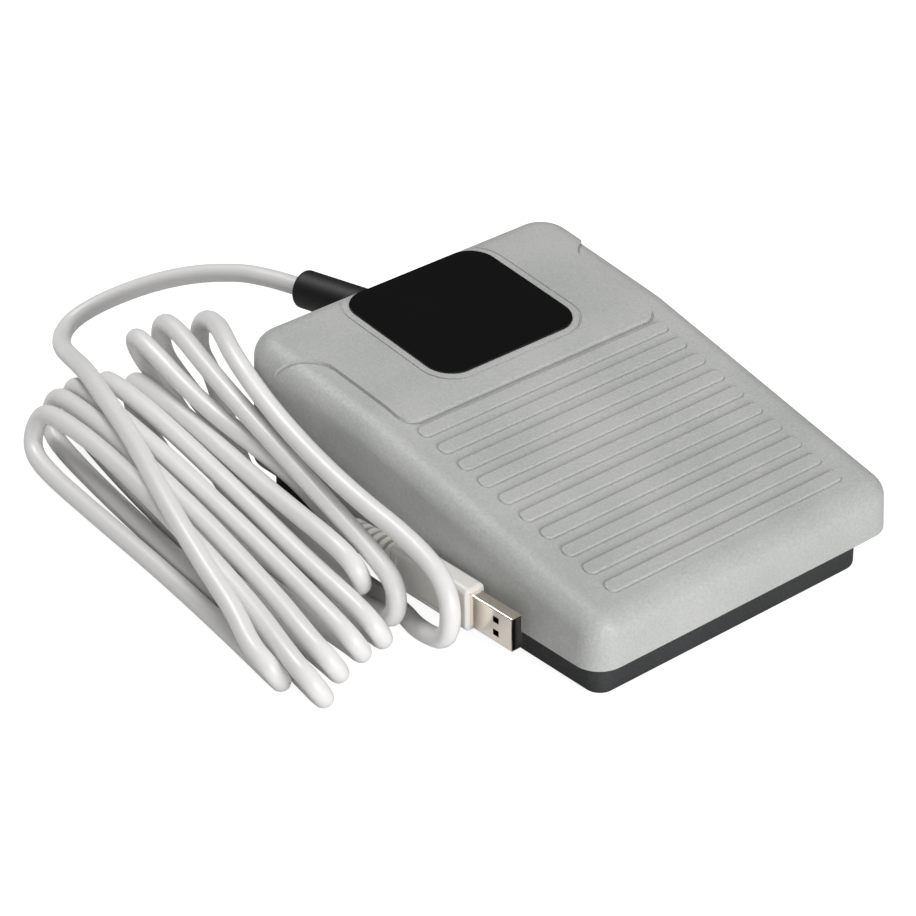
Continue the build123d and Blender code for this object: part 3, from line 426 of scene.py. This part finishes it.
# Undyed nylon: warm ivory with a mild shine
HEADER_NYLON = MouldedPlastic(
    "natural_nylon_header", "E4E0D2", "DAD6C6", 0.45, Grain.POLISHED, grain_mm=0.8
)
# Fired ceramic: small dull brown blocks
PART_CERAMIC = MouldedPlastic(
    "brown_ceramic_parts", "6B5844", "55493B", 0.45, Grain.FINE, grain_mm=0.4
)
# Extruded PVC insulation: strong plain colours, smooth all along the wire
CORE_RED = MouldedPlastic(
    "red_wire_insulation", "B8352B", "A92E25", 0.4, Grain.POLISHED, grain_mm=1.0
)
CORE_GREEN = MouldedPlastic(
    "green_wire_insulation", "3E8B4B", "367D43", 0.4, Grain.POLISHED, grain_mm=1.0
)
# Nickel plated on rolled steel: a warm mirror, softened by the strip's faint lines
NICKEL = PlatedMetal("bright_nickel_plate", "F0E6DA", 0.16)
# Cold-drawn steel: mid grey with a streaky shine
DRAWN_STEEL = PlatedMetal("drawn_steel", "B9BBBD", 0.3, line_mm=0.2)
# Oil-tempered wire: darker and duller than the axle
SPRING_WIRE = PlatedMetal("oil_tempered_spring_wire", "9C9DA0", 0.33, line_mm=0.2)
# Silver plated on brass: pale, with a trace of yellow
SILVER_PLATE = PlatedMetal("silver_plated_brass", "DAD6CB", 0.28)
# Tinned can: cool and bright
TINNED_CAN = PlatedMetal("tinned_can", "CFD0D0", 0.25)
# Gold plated on bronze: yellow glints on the black tongue
GOLD_PLATE = PlatedMetal("gold_plated_bronze", "D9B25C", 0.25)
# Extruded soft PVC: near-white cable with a waxy sheen
SHEATH_PVC = CableSheath("off_white_pvc_sheath", "EAE9E8", "E3E2E1")


def dress(nodes: dict[str, Any], finish: Finish, *names: str) -> None:
    """Give CAD nodes one finish.

    Args:
        nodes: the frame's node objects by name.
        finish: what they are made of.
        names: the nodes that get it.
    """
    material = finish.material()
    for name in names:
        for slot in nodes[name].material_slots:
            slot.material = material
        LOG.info("dressed %s with %s", name, material.name)


@dataclass
class PedalHousing:
    """Rocking hood with its label, and the tray with its clamp, feet, buffers and cable boot."""

    nodes: dict[str, Any]

    def build(self) -> None:
        """Dress the hood, the label and the pieces on the tray."""
        dress(self.nodes, COVER_ABS, "pedal_cover")
        dress(self.nodes, LABEL_FILM, "label_plate")
        dress(self.nodes, TRAY_ABS, "base_tray", "cable_clamp")
        dress(self.nodes, RUBBER_FOOT, "rubber_feet", "stop_buffers")
        dress(self.nodes, BOOT_TPE, "strain_relief_boot")


@dataclass
class SwitchWorks:
    """Hinge, springs, micro switch, board and screws inside the housing."""

    nodes: dict[str, Any]
    spring_seat_mm: Point = (35.0, -25.0, 8.0)
    pressed_share: float = 0.83

    def build(self) -> None:
        """Dress every inner piece and give each return spring a mesh of its own."""
        dress(
            self.nodes,
            DRAWN_STEEL,
            "hinge_pin",
            "hinge_pin_clips",
            "micro_switch_lever",
            "micro_switch_screws",
            "board_screws",
            "cable_clamp_screws",
        )
        dress(self.nodes, SPRING_WIRE, "return_spring_left", "return_spring_right")
        dress(self.nodes, SWITCH_PHENOLIC, "micro_switch_case")
        dress(self.nodes, BUTTON_RED, "micro_switch_plunger")
        dress(self.nodes, SILVER_PLATE, "micro_switch_terminals")
        dress(self.nodes, BOARD_RESIST, "circuit_board")
        dress(self.nodes, CHIP_EPOXY, "controller_chip")
        dress(self.nodes, TINNED_CAN, "crystal")
        dress(self.nodes, HEADER_NYLON, "board_headers")
        dress(self.nodes, PART_CERAMIC, "board_components")
        dress(self.nodes, CORE_RED, "switch_wires")
        dress(self.nodes, CORE_GREEN, "usb_conductors")
        for side, name in ((-1, "return_spring_left"), (1, "return_spring_right")):
            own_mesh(self.nodes[name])


@dataclass
class Plug:
    """Plug on the cable's end: grip with its ribbed relief, shell, insert and contacts."""

    nodes: dict[str, Any]

    def build(self) -> list[Any]:
        """Dress the plug's pieces.

        Returns:
            Their objects.
        """
        made_of = {
            GRIP_PVC: ("plug_relief", "plug_overmould"),
            NICKEL: ("plug_shell",),
            INSERT_PBT: ("plug_insulator",),
            GOLD_PLATE: ("plug_contacts",),
        }
        for finish, names in made_of.items():
            dress(self.nodes, finish, *names)
        return [self.nodes[name] for names in made_of.values() for name in names]


@dataclass(frozen=True)
class Bend:
    """Half-round bend at one end of a coil's turn, in millimetres, the shift being along X."""

    end: End
    tip: Point
    half_height: float
    half_shift: float
    lean: float = 0.15
    depth_share: float = 1.2
    corner_share: float = 0.62

    def points(self) -> list[Vector]:
        """Control points of the bend: its start, two round its outermost point, and its finish.

        Returns:
            Four points in millimetres.
        """
        way = self.end.value
        reach = math.hypot(self.half_height, self.half_shift)
        across = Vector((self.half_shift, 0, -self.half_height * way))
        inward = Vector((self.lean, 1, 0)) * reach * way * self.depth_share
        tip = Vector(self.tip)
        corner = across * self.corner_share
        return [tip + inward - across, tip - corner, tip + corner, tip + inward + across]


@dataclass(frozen=True)
class Turn:
    """One turn of the coil: front bend, lower strand, rear bend and upper strand, in mm."""

    front: Bend
    lower: tuple[Point, ...]
    rear: Bend
    upper: tuple[Point, ...]

    def points(self) -> list[Vector]:
        """Control points of the turn, in their order along the cable."""
        lower, upper = ([Vector(p) for p in strand] for strand in (self.lower, self.upper))
        return [*self.front.points(), *lower, *self.rear.points(), *upper]


# Turns of the coil, from the one that the lead runs into to the one that ends in the tail, with
# control points chosen to follow the strands
COIL_TURNS = (
    Turn(
        Bend(End.FRONT, (-131.2, -16.8, 10.5), 6.9, 3.8),
        ((-122.5, 20, 3.6), (-118.4, 60, 3.6), (-115.4, 105, 3.7)),
        Bend(End.REAR, (-107, 150, 12), 8.2, 4.0),
        ((-106.5, 110, 22), (-112.5, 60, 20.2), (-120.5, 10, 18.5)),
    ),
    Turn(
        Bend(End.FRONT, (-126.5, -32, 10.5), 6.9, 3.7),
        ((-115.4, 14, 3.6), (-111.2, 60, 3.7), (-106.5, 105, 3.7)),
        Bend(End.REAR, (-96.5, 156, 12), 8.2, 2.6),
        ((-98.5, 110, 21.5), (-104.2, 60, 20.2), (-112, 10, 18.5)),
    ),
    Turn(
        Bend(End.FRONT, (-115, -25, 10.4), 6.7, 3.7),
        ((-107.4, 16, 3.7), (-104, 60, 3.7), (-97.5, 108, 3.7)),
        Bend(End.REAR, (-87, 158, 12), 8.2, 1.2),
        ((-90.5, 110, 21.3), (-96, 60, 20.2), (-101.5, 15, 18.3)),
    ),
    Turn(
        Bend(End.FRONT, (-103, -21, 10.4), 6.7, 3.6),
        ((-98.5, 18, 3.7), (-96.9, 60, 3.7), (-90.5, 105, 3.9)),
        Bend(End.REAR, (-78.7, 150, 15.2), 8.4, 0),
        ((-82.5, 110, 23.8), (-87.8, 60, 21), (-92.5, 20, 18.5)),
    ),
    Turn(
        Bend(End.FRONT, (-93.3, -19.5, 10.4), 6.7, 3.3),
        ((-90.2, 20, 3.7), (-89.8, 60, 3.7), (-84, 98, 5)),
        Bend(End.REAR, (-74.3, 139, 17.8), 8.4, 0.4),
        ((-77.6, 100, 26.2), (-81.4, 62, 24.6), (-84.5, 32, 25.2)),
    ),
    Turn(
        Bend(End.FRONT, (-86.1, -1, 18.6), 7.0, 2.2),
        ((-81.8, 32, 11.5), (-78.4, 60, 11.7), (-70.8, 84, 17.4)),
        Bend(End.REAR, (-59.4, 118, 44.8), 9.2, 1.5),
        ((-69.6, 85, 54.6), (-72.6, 58, 44.6), (-77.6, 18, 40)),
    ),
    Turn(
        Bend(End.FRONT, (-80.2, -38, 20), 15.2, -0.6),
        (
            (-74.4, -7, 4.1), (-73.8, 14, 3.9), (-74.5, 40, 3.7),
            (-74.2, 66, 3.9), (-70.4, 84, 7), (-61.8, 103, 13),
        ),
        Bend(End.REAR, (-64.3, 134, 38.8), 9.2, 0),
        ((-71.6, 92, 43.4), (-74.2, 62, 37), (-77.6, 25, 29.6)),
    ),
    Turn(
        Bend(End.FRONT, (-82.8, -14.8, 14.6), 9.8, -0.6),
        ((-82, 15, 3.7), (-82, 40, 3.7), (-81.4, 64, 5.2), (-77, 86, 10.8), (-72, 103, 14.4)),
        Bend(End.REAR, (-69.6, 141, 33.6), 7.6, -2.2),
        (),
    ),
)


@dataclass
class Cable:
    """Cable from the boot to the plug: a free lead, a loose coil of eight turns and a tail."""

    diameter_mm: float = 6.6
    length_m: float = 3.14
    round_steps: int = 5
    steps_per_point: int = 10
    smooth_order: int = 3
    body: str = "base"
    slot: str = "cable_grey"
    lead_mm: tuple[Point, ...] = (
        (-8.9, 126.9, 40), (-12.9, 146, 39.1), (-19, 164, 34.5), (-26, 177, 30),
        (-34, 189, 24), (-44.5, 198, 18), (-53.5, 201.5, 14), (-60.5, 200, 12),
        (-67, 193.5, 12.5), (-73, 183, 15.5), (-79.5, 168, 21.5), (-86.8, 147, 27.8),
        (-93.5, 127, 29.6), (-99, 108, 29.9), (-104.5, 91, 29.6), (-112, 70, 29),
        (-119, 47, 26.6), (-124.5, 25, 23.2), (-128.3, 8, 20.5),
    )
    turns: tuple[Turn, ...] = COIL_TURNS
    tail_mm: tuple[Point, ...] = (
        (-74.8, 98, 33.1), (-74, 64, 29.4), (-73.6, 45, 26.4),
        (-73.36, 29.98, 20.2), (-72.99, 18.99, 20.2),
    )
    inner_mm: tuple[Point, ...] = (
        (-8.9, 126.9, 40), (0, 86, 42), (0, 64, 42),
        (-3, 52, 22), (-3, 44, 6.9), (-3, 23.3, 6.9),
    )

    def route(self) -> list[Vector]:
        """Points of the free cable, from the boot's end to the plug's relief.

        Returns:
            Points in metres.
        """
        places = [Vector(p) for p in self.lead_mm]
        for turn in self.turns:
            places += turn.points()
        places += [Vector(p) for p in self.tail_mm]
        return [p * MM for p in places]

    def spline(self, name: str, points: list[Vector], sheath: Any) -> Any:
        """Make one smooth round cord through its control points.

        Args:
            name: the piece's name.
            points: the route, in metres.
            sheath: the cable's material.

        Returns:
            The curve object.
        """
        curve = bpy.data.curves.new(name, "CURVE")
        curve.dimensions = "3D"
        curve.bevel_depth = self.diameter_mm / 2 * MM
        curve.bevel_resolution = self.round_steps
        curve.resolution_u = self.steps_per_point
        curve.use_fill_caps = True
        line = curve.splines.new("NURBS")
        line.points.add(len(points) - 1)
        for control, place in zip(line.points, points):
            control.co = (*place, 1.0)
        line.order_u = self.smooth_order
        line.use_endpoint_u = True
        curve.materials.append(sheath)
        piece = bpy.data.objects.new(name, curve)
        bpy.context.scene.collection.objects.link(piece)
        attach(piece, self.body)
        LOG.info("made %s", name)
        return piece

    def build(self, plug_pieces: list[Any]) -> None:
        """Make the free cable and the run inside the housing.

        Args:
            plug_pieces: the objects on the cable's far end; not used.
        """
        sheath = SHEATH_PVC.material()
        free = self.spline("cable", self.route(), sheath)
        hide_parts("cable_lead", "cable_coil", "cable_tail")
        inside = self.spline("cable_inside", [Vector(p) * MM for p in self.inner_mm], sheath)
        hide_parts("cable_inner")


@dataclass(frozen=True)
class SoftLamp:
    """Square soft light, with its places and its side in metres and its power in watts."""

    name: str
    place: Point
    aim: Point
    side: float
    power: float

    def hang(self) -> None:
        """Put the light in the scene, facing the point that it shines on."""
        light = bpy.data.lights.new(self.name, "AREA")
        light.size = self.side
        light.energy = self.power
        lamp = bpy.data.objects.new(self.name, light)
        lamp.location = self.place
        facing = Vector(self.place) - Vector(self.aim)
        lamp.rotation_euler = facing.to_track_quat("Z", "Y").to_euler()
        bpy.context.scene.collection.objects.link(lamp)


@dataclass
class Studio:
    """Plain pale floor, soft lights, white surroundings and the camera, its angles in degrees."""

    lens_mm: float = 133.6
    sensor_mm: float = 36.0
    sight_m: float = 20.0
    elevation: float = 32.02
    azimuth: float = -39.55
    roll: float = -0.69
    distance_mm: float = 1157.55
    target_mm: Point = (1.25, 56.0, 0.0)
    floor_half_m: float = 6.0
    floor_white: str = "D8D8D8"
    floor_seen_white: str = "B8B8B8"
    floor_glow: float = 0.87
    ambient: float = 0.27
    gloss_level: float = 0.06
    lamps: tuple[SoftLamp, ...] = (
        SoftLamp("overhead", (-0.12, 0.7, 1.2), (0, 0.05, 0), 0.45, 10.1),
        SoftLamp("front", (-0.2, -1.25, 0.36), (0, 0, 0.02), 0.7, 14.5),
    )

    def floor(self) -> None:
        """Lay the floor, which the camera sees white but for the object's shadow."""
        maker = bmesh.new()
        bmesh.ops.create_grid(maker, x_segments=1, y_segments=1, size=self.floor_half_m)
        mesh = bpy.data.meshes.new("floor")
        maker.to_mesh(mesh)
        maker.free()
        floor = bpy.data.objects.new("floor", mesh)
        bpy.context.scene.collection.objects.link(floor)
        mesh.materials.append(self.paper())

    def paper(self) -> Any:
        """Build the floor's paper, which glows for the camera alone.

        Returns:
            The material.
        """
        material, tree = new_material("white_paper_floor")
        seen = add_node(tree, "ShaderNodeLightPath", {}, {}).outputs["Is Camera Ray"]
        white = add_node(
            tree,
            "ShaderNodeMix",
            {
                "data_type": "RGBA",
                FIRST_COLOUR: linear(self.floor_white),
                SECOND_COLOUR: linear(self.floor_seen_white),
            },
            {SHARE: seen},
        )
        matt = add_node(
            tree, "ShaderNodeBsdfDiffuse", {}, {"Color": white.outputs[MIXED_COLOUR]}
        )
        glow_level = add_node(
            tree, "ShaderNodeMath", {"operation": "MULTIPLY", 1: self.floor_glow}, {0: seen}
        )
        glow = add_node(
            tree,
            "ShaderNodeEmission",
            {"Color": linear("FFFFFF")},
            {"Strength": glow_level.outputs[0]},
        )
        both = add_node(
            tree, "ShaderNodeAddShader", {}, {0: matt.outputs[0], 1: glow.outputs[0]}
        )
        add_node(tree, "ShaderNodeOutputMaterial", {}, {"Surface": both.outputs[0]})
        return material

    def world(self) -> None:
        """Light the scene evenly from all round, white to the camera and dim in gloss."""
        world = bpy.data.worlds.new("studio")
        bpy.context.scene.world = world
        world.use_nodes = True
        tree = world.node_tree
        tree.nodes.clear()
        ray = add_node(tree, "ShaderNodeLightPath", {}, {})
        unseen = add_node(
            tree,
            "ShaderNodeMapRange",
            {"To Min": self.ambient, "To Max": self.gloss_level},
            {"Value": ray.outputs["Is Glossy Ray"]},
        )
        seen = add_node(
            tree,
            "ShaderNodeMath",
            {"operation": "MAXIMUM"},
            {0: ray.outputs["Is Camera Ray"], 1: ray.outputs["Is Transmission Ray"]},
        )
        level = add_node(
            tree,
            "ShaderNodeMath",
            {"operation": "MAXIMUM"},
            {0: seen.outputs[0], 1: unseen.outputs[0]},
        )
        back = add_node(
            tree,
            "ShaderNodeBackground",
            {"Color": linear("FFFFFF")},
            {"Strength": level.outputs[0]},
        )
        add_node(tree, "ShaderNodeOutputWorld", {}, {"Surface": back.outputs[0]})

    def camera(self) -> None:
        """Set the camera at the photograph's viewing angle."""
        turn, rise, tilt = (math.radians(a) for a in (self.azimuth, self.elevation, self.roll))
        back = Vector(
            (math.sin(turn) * math.cos(rise), -math.cos(turn) * math.cos(rise), math.sin(rise))
        )
        right = Vector((math.cos(turn), math.sin(turn), 0))
        above = back.cross(right)
        side = right * math.cos(tilt) + above * math.sin(tilt)
        top = above * math.cos(tilt) - right * math.sin(tilt)
        data = bpy.data.cameras.new("camera")
        data.lens = self.lens_mm
        data.sensor_width = self.sensor_mm
        data.clip_end = self.sight_m
        camera = bpy.data.objects.new("camera", data)
        stand = Matrix((side, top, back)).transposed().to_4x4()
        stand.translation = (Vector(self.target_mm) + back * self.distance_mm) * MM
        camera.matrix_world = stand
        bpy.context.scene.collection.objects.link(camera)
        bpy.context.scene.camera = camera

    def build(self) -> None:
        """Set up the floor, surroundings, lamps and camera."""
        self.floor()
        self.world()
        for lamp in self.lamps:
            lamp.hang()
        self.camera()
        bpy.context.scene.view_settings.view_transform = "Standard"
        LOG.info("studio is set")


def main() -> None:
    """Build the pieces around the frame."""
    logging.basicConfig(level=logging.INFO, format="%(name)s: %(message)s")
    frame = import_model()
    nodes = frame["nodes"]
    Studio().build()
    plug_pieces = Plug(nodes).build()
    Cable().build(plug_pieces)
    PedalHousing(nodes).build()
    SwitchWorks(nodes).build()
    LOG.info("boxes written")


if __name__ == "__main__":
    main()
